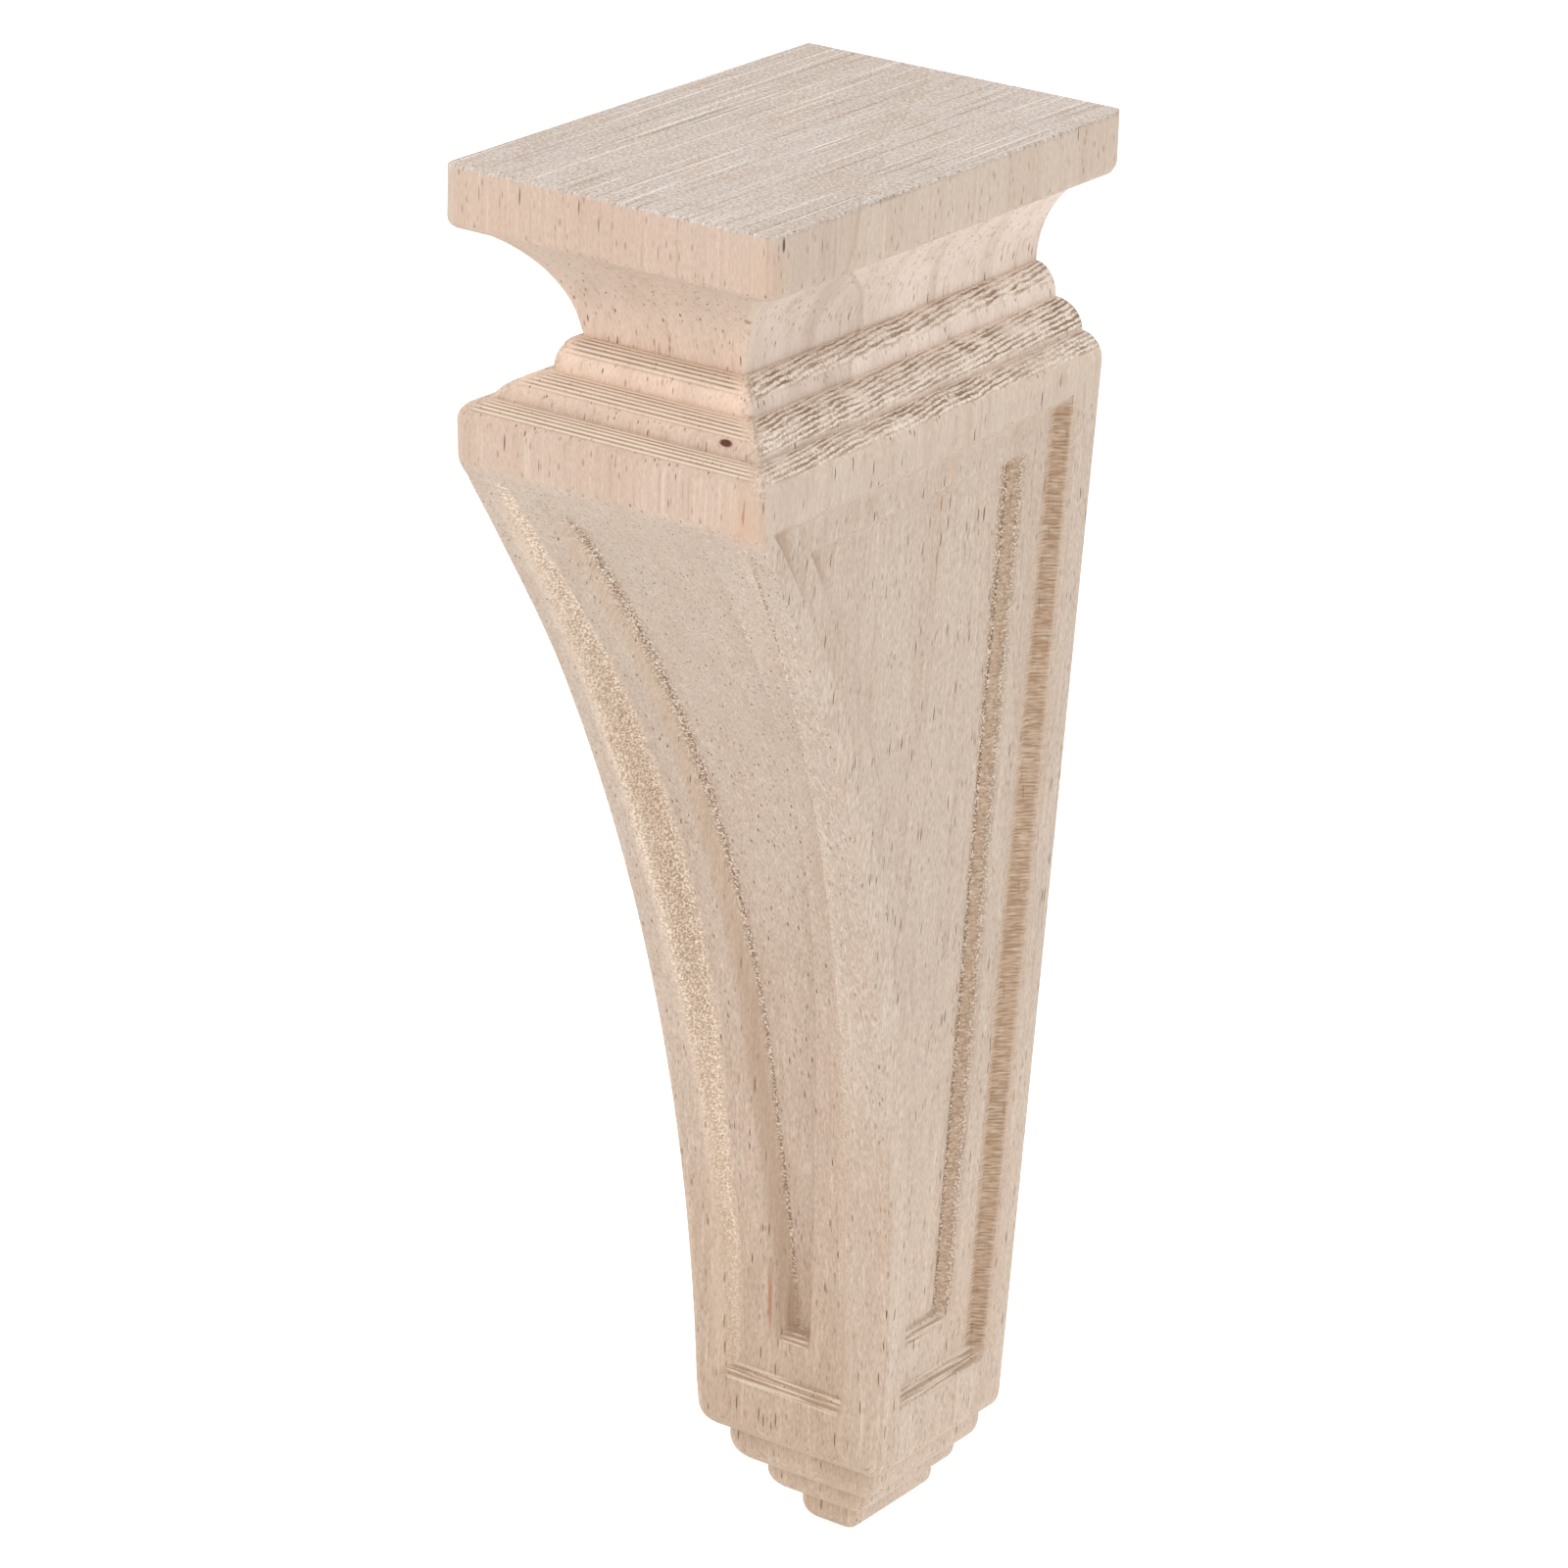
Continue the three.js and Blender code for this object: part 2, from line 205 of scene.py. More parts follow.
def profile():
    """Rows of the mesh down the corbel: (half width, front depth, level, share of an ovolo)."""
    rows = []

    def head(half, level, ledge=-1.0):
        rows.append((half, half + HEAD_REACH, level, ledge))

    for a in spread(0, math.pi / 2, PLATE_TOP_ROWS):
        head(PLATE_HALF - PLATE_TOP_ROUND * (1 - math.sin(a)), PLATE_TOP_ROUND * (1 - math.cos(a)))
    for inset in (PLATE_TOP_ROUND, PLATE_TOP_ROUND + CAP_INSET):
        rows.insert(0, (PLATE_HALF - inset, DEPTH - inset, 0.0, -1.0))
    for level in spread(PLATE_TOP_ROUND, PLATE_THICKNESS - PLATE_FOOT_ROUND, PLATE_ROWS):
        head(PLATE_HALF, level)
    for a in spread(0, math.pi / 2, PLATE_FOOT_ROWS):
        drop = PLATE_FOOT_ROUND * math.sin(a)
        head(PLATE_HALF - PLATE_FOOT_ROUND * (1 - math.cos(a)), PLATE_THICKNESS - PLATE_FOOT_ROUND + drop)
    cove_half = PLATE_HALF - PLATE_FOOT_ROUND
    for a in spread(0, 1, COVE_ROWS):
        level = mix(PLATE_THICKNESS, NECK_LEVEL, a ** COVE_CROWDING)
        head(hollow(cove_half, PLATE_THICKNESS, NECK_HALF, NECK_LEVEL, level), level)
    for i in range(3):
        out, level = OVOLO_HALVES[i], OVOLO_LEVELS[i]
        for t in spread(0, RIDGED_SHARE, RIDGED_ROWS) + spread(RIDGED_SHARE, 1, PLAIN_ROWS):
            a = t * math.pi / 2
            head(
                mix(out, OVOLO_HALVES[i + 1], math.sin(a)),
                mix(level, OVOLO_LEVELS[i + 1], 1 - math.cos(a)),
                i + min(t, 0.999),
            )
    marks = sorted({
        SHOULDER_LEVEL, FASCIA_LEVEL, BODY_FOOT_LEVEL, *SIDE_OUTER_LEVELS, *SIDE_FIELD_LEVELS,
        *FRONT_OUTER_LEVELS, *FRONT_FIELD_LEVELS, SIDE_OUTER_LEVELS[0] + SIDE_WALL,
        SIDE_OUTER_LEVELS[1] - SIDE_WALL, SIDE_FIELD_LEVELS[0] + SILL_RUN, SIDE_FIELD_LEVELS[1] - SILL_RUN,
        FRONT_OUTER_LEVELS[1] - SILL_RUN, FRONT_FIELD_LEVELS[1] - SILL_RUN,
    })
    for start, end in zip(marks, marks[1:]):
        for level in spread(start, end, max(1, math.ceil((end - start) / ROW_STEP))):
            rows.append((body_half(level), body_front(level), level, -1.0))
    for (half_from, level_from), (half_to, level_to) in FOOT_ROUNDS:
        if level_from > rows[-1][2]:
            for level in spread(rows[-1][2], level_from, FILLET_ROWS):
                rows.append((half_from, half_from + FOOT_REACH, level, -1.0))
        for a in spread(0, math.pi / 2, ROUND_ROWS):
            half = mix(half_from, half_to, 1 - math.cos(a))
            rows.append((half, half + FOOT_REACH, mix(level_from, level_to, math.sin(a)), -1.0))
    rows.append((rows[-1][0] - CAP_INSET, rows[-1][1] - CAP_INSET, HEIGHT, -1.0))
    return rows


def corner_round(level):
    """Radius of the two upright front corners."""
    plate = PLATE_ROUND_EXTRA * (1 - ramp(level, *PLATE_ROUND_FALL))
    fascia = FASCIA_ROUND_EXTRA * soft_window(level, FASCIA_ROUND_RISE, FASCIA_ROUND_FALL)
    foot = FOOT_ROUND_EXTRA * ramp(level, *FOOT_ROUND_RISE)
    return CORNER_ROUND + plate + fascia + foot


def front_border(level):
    widening = FRONT_BORDER_SPREAD * math.sin(math.pi / 2 * ramp(level, *FRONT_BORDER_SPAN))
    return FRONT_BORDER_TOP + widening - FRONT_BORDER_FOOT_IN * ramp(level, *FRONT_BORDER_FOOT_SPAN)


def front_field_edge(level):
    return mix(FRONT_FIELD_EDGE_TOP, FRONT_FIELD_EDGE_FOOT, ease(level, *FRONT_FIELD_SPAN))


def front_step(level):
    """Depth of the front treads below the face."""
    share = ramp(level, FRONT_OUTER_LEVELS[0], FRONT_STEP_EXTRA_END)
    settled = FRONT_STEP_DEPTH * ramp(level, FRONT_OUTER_LEVELS[0], FRONT_STEP_SETTLED)
    return settled + FRONT_STEP_EXTRA * math.sin(math.pi * share ** FRONT_STEP_BIAS)


def window(value, rise, fall):
    """Rises from 0 to 1 over the first span and falls back to 0 over the second."""
    return ramp(value, *rise) * (1 - ramp(value, *fall))


def soft_window(value, rise, fall):
    return ease(value, *rise) * (1 - ease(value, *fall))


def between(level, limits, run):
    """1 between two levels, falling to 0 over the sloped ends."""
    return min(ramp(level, limits[0], limits[0] + run), 1 - ramp(level, limits[1] - run, limits[1]))


def side_walls(level):
    """Where the two walls at the back of a side panel start and end, counted from the back."""
    outer = SIDE_BORDER_BACK + SIDE_BACK_TOP_SHIFT * (1 - ramp(level, *SIDE_BACK_SPAN))
    outer_foot = SIDE_BORDER_BACK + SIDE_WALL - SIDE_WALL_FOOT_SHIFT * ramp(level, *SIDE_WALL_SPAN)
    field = SIDE_FIELD_BACK - SIDE_FIELD_FOOT_SHIFT * ramp(level, *SIDE_FIELD_SPAN)
    return outer, outer_foot, field, field + SIDE_FIELD_WALL


def side_front_walls(level):
    """The same for the two walls at the front of a side panel, counted from the front."""
    rim = SIDE_BORDER_FRONT - SIDE_BORDER_TOP_SHIFT * (1 - ramp(level, *SIDE_BORDER_SPAN))
    field = SIDE_FIELD_FRONT - SIDE_FIELD_FRONT_SHIFT * ramp(level, *SIDE_FIELD_FRONT_SPAN)
    return rim, rim + SIDE_WALL, field, field + SIDE_FIELD_WALL


def side_marks(front, level):
    scale = min(1.0, front / SIDE_FULL_DEPTH)
    ahead = [front - a * scale for a in reversed(side_front_walls(level))]
    return [0] + [b * scale for b in side_walls(level)] + ahead


def front_walls(level, flank):
    """Where the two walls of the front panel start and end, counted in from the side."""
    field = front_field_edge(level)
    if flank > 0:
        rim = front_border(level)
        return rim, rim + FRONT_WALL, field, field + FRONT_FIELD_WALL
    foot = LEFT_FOOT_TOP + LEFT_FOOT_SPREAD * ease(level, *LEFT_FOOT_SPAN)
    foot -= LEFT_FOOT_IN * ramp(level, *LEFT_FOOT_IN_SPAN)
    field -= LEFT_FIELD_TOP_SHIFT * (1 - ramp(level, *LEFT_FIELD_TOP_SPAN))
    return foot - LEFT_WALL, foot, field - LEFT_FIELD_WALL_EXTRA, field + FRONT_FIELD_WALL


def front_marks(half, level, flank, corner_at):
    """The front panel's walls on a row, drawn together where the foot is too narrow between its corners."""
    scale = min(1.0, half / BODY_FOOT_HALF)
    marks = [half - m * scale for m in front_walls(level, flank)]
    drawn = min(1.0, DRAWN_SHARE * corner_at / marks[0])
    return [drawn * m for m in marks]


def between_marks(marks, counts):
    values = [marks[0]]
    for start, end, count in zip(marks, marks[1:], counts):
        values += spread(start, end, count)
    return values


def left_extra(level):
    """How much further out the left side stands at a level."""
    for (start, extra_from), (end, extra_to) in zip(LEFT_EXTRAS, LEFT_EXTRAS[1:]):
        if start <= level < end:
            return mix(extra_from, extra_to, ramp(level, start, end))
    return 0.0


def half_ring(half, front, level, flank):
    """One half of a row from the back to the middle of the front, as (x, y ahead, part of the ring)."""
    radius = min(corner_round(level), half * CORNER_SHARE)
    side = between_marks(side_marks(front, level) + [front - radius], SIDE_COLUMNS)
    points = [(half, y, "side") for y in side]
    for a in spread(0, math.pi / 2, CORNER_COLUMNS):
        points.append((half - radius * (1 - math.cos(a)), front - radius * (1 - math.sin(a)), "corner"))
    corner_at = half - radius
    across = between_marks([corner_at] + front_marks(half, level, flank, corner_at) + [0.0], FRONT_COLUMNS)
    return points + [(x, front, "front") for x in across[1:]]


def wavy(x, y, z, size, seed):
    """Smooth noise from -1 to 1 with features about a size across."""
    return noise.noise(Vector((x, y, z)) / size + Vector((seed, 0, 0)))


# What the finish reads at each point of the mesh
MASKS = (
    "warm", "lift", "ridge", "even", "torn", "rungs", "burnt", "edge", "comb", "shade", "sill", "strip",
    "dots", "mitre", "wall",
)
# Share of a step's depth from which its marks begin to show
SHOWS_FROM = 0.3

# Finish of the side panels: brown, partly burn and partly painted shade, runs a little past a wall's rim and
# foot, and ragged lines follow the inner wall
BROWN_BEFORE, BROWN_AFTER = 0.2, 0.3
BROWN_PAST_FOOT, BROWN_PAST_FIELD_FOOT = 0.5, 0.7
LINE_SHIFT, LINE_BEFORE, LINE_AFTER = 0.2, 0.6, 0.5
SIDE_SILL_REACH, SIDE_FIELD_SILL_REACH = 2.1, 1.76
# Painted shade in the upper front corners of a side panel: how far it reaches, and how strong it is
CORNER_REACH_TOP, CORNER_REACH_LOW, CORNER_DROP = 8.0, 2.5, 17.0
CORNER_SHADE, FIELD_CORNER_SHADE = 0.7, 0.9
SIDE_STRIP_RISE, SIDE_STRIP_FALL, SIDE_STRIP_PAST = (66, 90), (200, 250), 3.0

# Finish of the front panel: a combed band at the foot of the outer wall, painted shade in brown and a ragged
# line at the foot of the inner one
WALLS_APPEAR, COMB_APPEARS = (60, 74), (60, 67)
COMB_REACH_TOP, COMB_REACH_LOW, COMB_SPREADS = 1.6, 5.5, (66, 150)
COMB_NARROWING, COMB_NARROWS = 0.4, (170, 230)
COMB_FADING, COMB_FADES = 0.8, (165, 250)
COMB_SHIFT = 0.3
# Golden tone and painted light on the front panel's walls, which face away from the lamp
GOLD_FADING, GOLD_FADES, FIELD_GOLD = 0.45, (150, 240), 0.75
SHADE_REACH, SHADE_PAST = 4.2, 0.6
SHADE_TOP, SHADE_LOW, SHADE_DEEPENS = 0.12, 0.7, (130, 250)
LINE_THINS, LINE_TOP_REACH, LINE_LOW_REACH = (115, 180), (1.9, 1.2), (0.8, 0.7)
RIGHT_COMB, RIGHT_SHADE, RIGHT_LINE_LOW = 0.25, 0.4, 0.1
RIGHT_LINE_FADES, RIGHT_LINE_REACH = (72, 115), 0.8
DOTS_APPEAR, DOTS_IN, DOTS_IN_SPAN = (62, 67), 3.2, (66, 88)
DOTS_LOW, DOTS_FADE, DOTS_REACH = 0.12, (86, 98), (1.6, 2.0)
FRONT_SILL_REACH, FRONT_FIELD_SILL_REACH = 2.2, 1.8
STRIP_APPEARS, STRIP_LEFT, STRIP_FADING, STRIP_FADES = (62, 85), 0.3, 0.6, (180, 250)

# Painted light and shade: how much paler or darker the wood is painted than its tone, and over which levels
FRONT_UNDER_PLATE, SIDE_UNDER_PLATE, NECK_LIFT = 0.12, 0.42, 0.16
FIRST_OVOLO_LIFT, SIDE_OVOLO_LIFT, OVOLO_TOP_LIFT = 0.26, 0.12, 0.14
UNDER_RISE, UNDER_FALL = (PLATE_THICKNESS - 1, PLATE_THICKNESS + 6), (36, 52)
NECK_RISE, NECK_FALL = (18, 30), (34, 46)
FIRST_OVOLO_RISE, FIRST_OVOLO_FALL = (34, 36), (40, 46)
SIDE_OVOLO_RISE, SIDE_OVOLO_FALL = (36, 42), (49, 53)
SIDE_LOW_SPAN, TIP_SPAN = (170, 240), (290, 304)
FRONT_CURVE_LIFT, SIDE_TOP_LIFT, SIDE_LOW_LIFT = -0.11, -0.04, 0.09
COMB_LIFT, SHADE_LIFT, WALL_LIFT, STRIP_LIFT = 0.30, 0.08, 0.30, -0.07
SIDE_WALL_LIFT, TIP_LIFT = 0.12, 0.07

# Warm wood on the front: it fades under the fascia, comes back low down, and is cooler in the cove
WARM_RETURNS, COVE_FALL, COVE_COOLING = (100, 200), (24, 33), 0.65
# Marks of an ovolo, by the share of its curve from the top, and how far from the corner they begin
OVOLO_LIFT_FALL, RIDGES_RISE, RIDGES_FADE = (0.05, 0.6), (0.02, 0.1), 0.14
EVEN_FROM_CORNER, TORN_FROM_CORNER = (1.0, 4.0), (0.2, 2.0)
MITRE_REACH, MITRE_RISE, MITRE_FALL = 3.0, (33, 35), (50, 53)


def tent(value, centre, before, after):
    """1 at the centre, falling to 0 over a length on each side."""
    return clamp(1 - (centre - value) / before if value < centre else 1 - (value - centre) / after)


def sill_mask(inside, level, bottom, run, reach, gain=2.0):
    """1 along the sloped lower end of a step, for a point inside its walls."""
    return ramp(inside, SHOWS_FROM, 1) * min(1, gain * tent(level, bottom - run / 2, reach, reach))


def side_panel(y, ahead, level, masks):
    """Sets the masks of a point on a side panel, and gives how deep it lies."""
    rim, foot, field_rim, field_foot = side_walls(level)
    front_rim, front_foot, front_field_rim, front_field_foot = side_front_walls(level)
    outer = min(ramp(y, rim, foot), ramp(ahead, front_rim, front_foot))
    field = min(ramp(y, field_rim, field_foot), ramp(ahead, front_field_rim, front_field_foot))
    top = SIDE_OUTER_LEVELS[0] + SIDE_TOP_SLOPE * (y - SIDE_BORDER_BACK)
    bottom = SIDE_OUTER_LEVELS[1]
    field_top = SIDE_FIELD_LEVELS[0] + SIDE_FIELD_TOP_SLOPE * (y - SIDE_FIELD_BACK)
    field_bottom = SIDE_FIELD_LEVELS[1] + SIDE_FIELD_FOOT_SLOPE * (y - SIDE_FIELD_BACK)
    outer_ends = between(level, (top, bottom), SIDE_WALL)
    field_ends = between(level, (field_top, field_bottom), SILL_RUN)

    rungs = window(y, (rim - BROWN_BEFORE, rim + BROWN_AFTER), (foot, foot + BROWN_PAST_FOOT))
    masks["rungs"] = min(rungs, ramp(outer_ends, SHOWS_FROM, 1))
    field_start = (field_rim - BROWN_BEFORE, field_rim + BROWN_AFTER)
    burnt = window(y, field_start, (field_foot, field_foot + BROWN_PAST_FIELD_FOOT))
    masks["burnt"] = min(burnt, ramp(field_ends, SHOWS_FROM, 1))
    rim_line = tent(y, field_rim + LINE_SHIFT, LINE_BEFORE, LINE_AFTER)
    masks["edge"] = max(rim_line, tent(y, field_foot, LINE_BEFORE, LINE_AFTER)) * field_ends
    masks["sill"] = max(
        sill_mask(outer, level, bottom, SIDE_WALL, SIDE_SILL_REACH),
        sill_mask(field, level, field_bottom, SILL_RUN, SIDE_FIELD_SILL_REACH),
    )

    # Painted shade: the upper front corners are painted brown, the outer one in a triangle that narrows
    # downwards
    reach = front_rim + mix(CORNER_REACH_TOP, CORNER_REACH_LOW, ramp(level, top, top + CORNER_DROP))
    corner = window(ahead, (front_rim, front_rim + 1.2), (reach - 1.5, reach + 0.5))
    corner *= window(level, (top - 0.5, top + 2.5), (top + 10, top + 20))
    field_corner = tent(ahead, front_field_foot, SIDE_FIELD_WALL, 3.0) * tent(level, field_top + 4, 4, 7)
    masks["shade"] = max(CORNER_SHADE * corner, FIELD_CORNER_SHADE * field_corner)
    strip = 1 - ramp(ahead, front_foot, front_foot + SIDE_STRIP_PAST)
    masks["strip"] = strip * ease(level, *SIDE_STRIP_RISE) * (1 - ramp(level, *SIDE_STRIP_FALL))
    return SIDE_OUTER_DEPTH * min(outer, outer_ends) + SIDE_FIELD_DEPTH * min(field, field_ends)


def front_panel(ahead, level, flank, masks):
    """The same for a point on the front panel."""
    rim, foot, field_rim, field_foot = front_walls(level, flank)
    outer, field = ease(ahead, rim, foot), ease(ahead, field_rim, field_foot)
    field_top, field_bottom = FRONT_FIELD_LEVELS
    outer_ends = between(level, FRONT_OUTER_LEVELS, SILL_RUN)
    field_end = 1 - ramp(level, field_bottom - SILL_RUN, field_bottom)
    field_ends = min(ease(level, field_top, field_top + FIELD_TOP_RUN), field_end)
    down = ease(level, *WALLS_APPEAR)

    reach = mix(COMB_REACH_TOP, COMB_REACH_LOW, ramp(level, *COMB_SPREADS))
    reach *= 1 - COMB_NARROWING * ramp(level, *COMB_NARROWS)
    comb = ease(level, *COMB_APPEARS) * outer_ends * tent(ahead, foot - COMB_SHIFT, reach, 0.5 * reach)
    comb *= 1 - COMB_FADING * ramp(level, *COMB_FADES)
    # Painted shade in brown beside the foot of the inner wall, deeper low down
    shade = mix(SHADE_TOP, SHADE_LOW, ramp(level, *SHADE_DEEPENS)) * down * field_ends
    shade *= tent(ahead, field_foot, SHADE_REACH, SHADE_PAST)
    strip = ease(level, *STRIP_APPEARS) * (1 - ramp(ahead, rim - 1.0, rim + 1.0))
    strip *= 1 - STRIP_FADING * ramp(level, *STRIP_FADES)

    if flank > 0:
        comb, shade = RIGHT_COMB * comb, RIGHT_SHADE * shade
        faded = mix(1.0, RIGHT_LINE_LOW, ramp(level, *RIGHT_LINE_FADES))
        edge = faded * down * outer_ends * tent(ahead, rim, RIGHT_LINE_REACH, RIGHT_LINE_REACH)
        dotted = field_rim + DOTS_IN * (1 - ramp(level, *DOTS_IN_SPAN))
        dots = ease(level, *DOTS_APPEAR) * mix(1.0, DOTS_LOW, ramp(level, *DOTS_FADE))
        masks["dots"] = dots * tent(ahead, dotted, *DOTS_REACH)
    else:
        thin = ramp(level, *LINE_THINS)
        reaches = [mix(wide, slim, thin) for wide, slim in zip(LINE_TOP_REACH, LINE_LOW_REACH)]
        edge = down * tent(ahead, field_foot, *reaches)
        edge *= ease(level, field_top + 2, field_top + 9) * field_end
        # On the left the walls are painted golden and paler, as painted light
        gold = outer_ends * soft_window(ahead, (rim - 2.4, rim + 2.6), (foot - 1.2, foot + 0.8))
        inner_wall = soft_window(ahead, (field_rim, field_rim + 2), (field_foot - 1, field_foot + 0.6))
        gold = max(gold, FIELD_GOLD * field_ends * inner_wall)
        masks["wall"] = down * (1 - GOLD_FADING * ramp(level, *GOLD_FADES)) * gold
        strip *= STRIP_LEFT
    masks["comb"], masks["shade"], masks["edge"], masks["strip"] = comb, shade, edge, strip
    masks["sill"] = max(
        sill_mask(outer, level, FRONT_OUTER_LEVELS[1], SILL_RUN, FRONT_SILL_REACH, 1.6),
        sill_mask(field, level, field_bottom, SILL_RUN, FRONT_FIELD_SILL_REACH),
    )
    return front_step(level) * min(outer, outer_ends) + FRONT_FIELD_DEPTH * min(field, field_ends)


def painted_light_and_shade_at(level, frontness, masks):
    """Painted light and shade: how much paler or darker than its tone the wood is painted at a point."""
    under = soft_window(level, UNDER_RISE, UNDER_FALL)
    neck = soft_window(level, NECK_RISE, NECK_FALL)
    curve = ease(level, FASCIA_LEVEL, FASCIA_LEVEL + 5)
    front = FRONT_UNDER_PLATE * under + NECK_LIFT * neck + FRONT_CURVE_LIFT * curve
    front += FIRST_OVOLO_LIFT * window(level, FIRST_OVOLO_RISE, FIRST_OVOLO_FALL)
    front += COMB_LIFT * masks["comb"] + SHADE_LIFT * masks["shade"]
    front += WALL_LIFT * masks["wall"] + STRIP_LIFT * masks["strip"]
    side = SIDE_UNDER_PLATE * under + SIDE_OVOLO_LIFT * window(level, SIDE_OVOLO_RISE, SIDE_OVOLO_FALL)
    side += SIDE_WALL_LIFT * max(masks["rungs"], masks["burnt"])
    side += curve * mix(SIDE_TOP_LIFT, SIDE_LOW_LIFT, ramp(level, *SIDE_LOW_SPAN))
    return mix(side, front, frontness) + TIP_LIFT * ramp(level, *TIP_SPAN)


def ovolo_masks(y, ahead, part, ledge, masks):
    """Sets where on an ovolo a point has the cutter's ridges, and their phase."""
    ovolo, share = int(ledge), ledge % 1
    # Painted light on the upper part of each ovolo
    masks["lift"] += OVOLO_TOP_LIFT * (1 - ramp(share, *OVOLO_LIFT_FALL))
    end = RIDGED_SHARE if part == "front" else TORN_SHARES[ovolo]
    ridged_part = window(share, RIDGES_RISE, (end - RIDGES_FADE, end))
    if part == "front":
        masks["ridge"] = OVOLO_RIDGES[ovolo] * share / RIDGED_SHARE
        masks["even"] = ridged_part * ramp(ahead, *EVEN_FROM_CORNER)
    elif part == "side":
        sway = 0.55 * wavy(ovolo * 9.0, y, share * 4, 11.0, 3.0)
        masks["ridge"] = TORN_RIDGES[ovolo] * share / RIDGED_SHARE - y / TORN_DRIFT + sway
        patch = 0.8 + 0.55 * wavy(ovolo * 31.0, y, share * 5, 14.0, 9.0)
        masks["torn"] = clamp(ridged_part * ramp(ahead, *TORN_FROM_CORNER) * patch)


def carve(x, y, part, row, flank):
    """Moves one point of a half for the panels, and gives its masks."""
    half, front, level, ledge = row
    masks = dict.fromkeys(MASKS, 0.0)
    ahead = front - y if part == "side" else half - x
    if part == "side" and ledge < 0:
        x -= side_panel(y, ahead, level, masks)
    if part == "front" and ledge < 0:
        y -= front_panel(ahead, level, flank, masks)
    frontness = {"side": 0.0, "corner": 0.5, "front": 1.0}[part]
    flat = 1 - ease(level, FASCIA_LEVEL - 2, FASCIA_LEVEL + 6) + 0.5 * ramp(level, *WARM_RETURNS)
    cove = soft_window(level, (PLATE_THICKNESS - 2, PLATE_THICKNESS + 2), COVE_FALL)
    masks["warm"] = frontness * clamp(flat) * (1 - COVE_COOLING * cove)
    # Painted light and shade by region
    masks["lift"] = painted_light_and_shade_at(level, frontness, masks)
    masks["mitre"] = tent(ahead, 0.0, MITRE_REACH, MITRE_REACH) * window(level, MITRE_RISE, MITRE_FALL)
    if ledge >= 0:
        ovolo_masks(y, ahead, part, ledge, masks)
    return x, y, level, masks


def ridged(points, rows, r):
    """Pushes the points of a row in along the profile's normal, by the cutter's ridges."""
    ledge = rows[r][3]
    if ledge < 0 or r + 1 >= len(rows):
        return points
    before, after = rows[r - 1], rows[r + 1]
    run, fall = after[0] - before[0], after[2] - before[2]
    length = math.hypot(run, fall) or 1.0
    moved = []
    for x, y, depth_level, masks in points:
        hollow_share = 0.5 - 0.5 * math.cos(2 * math.pi * masks["ridge"])
        sink = hollow_share * (RIDGE_DEPTH * masks["even"] + TORN_DEPTH * masks["torn"])
        out, down = -sink * fall / length, sink * run / length
        if masks["even"] > 0:
            y += out
        else:
            x += out
        moved.append((x, y, depth_level + down, masks))
    return moved


def corbel():
    rows = profile()
    count = 2 * len(half_ring(*rows[0][:3], 1)) - 1 + BACK_COLUMNS - 1
    bm = bmesh.new()
    bmesh.ops.create_grid(bm, x_segments=count, y_segments=len(rows) - 1, size=1)
    bm.verts.ensure_lookup_table()
    per_row = count + 1
    layers = {name: bm.verts.layers.float.new(name) for name in MASKS}
    for r, row in enumerate(rows):
        right, left = (
            ridged([carve(*point, row, flank) for point in half_ring(*row[:3], flank)], rows, r)
            for flank in (1, -1)
        )
        fuller = 1 + left_extra(row[2]) / row[0]
        left = [(-x * fuller, y, level, masks) for x, y, level, masks in reversed(left[:-1])]
        if row[2] < PLATE_THICKNESS:
            right[0] = (right[0][0] - BACK_CORNER_CUT, *right[0][1:])
        end, _, end_level, end_masks = right[0]
        back = [(mix(left[-1][0], end, i / BACK_COLUMNS), 0.0, end_level, {}) for i in range(1, BACK_COLUMNS)]
        back.append((end, 0.0, end_level, end_masks))
        for c, (x, y, level, masks) in enumerate(right + left + back):
            vertex = bm.verts[r * per_row + c]
            vertex.co = Vector((x, -y, TOP - level)) * MM
            for name, value in masks.items():
                vertex[layers[name]] = value
    bmesh.ops.remove_doubles(bm, verts=bm.verts, dist=MERGE_DISTANCE * MM)
    bmesh.ops.holes_fill(bm, edges=bm.edges, sides=0)
    bmesh.ops.recalc_face_normals(bm, faces=bm.faces)
    mesh = bpy.data.meshes.new("carved_corbel")
    for face in bm.faces:
        face.smooth = True
    for edge in bm.edges:
        edge.smooth = edge.calc_face_angle(0) < SHARP_ANGLE
    bm.to_mesh(mesh)
    bm.free()
    piece = bpy.data.objects.new("carved_corbel", mesh)
    bpy.context.scene.collection.objects.link(piece)
    return piece


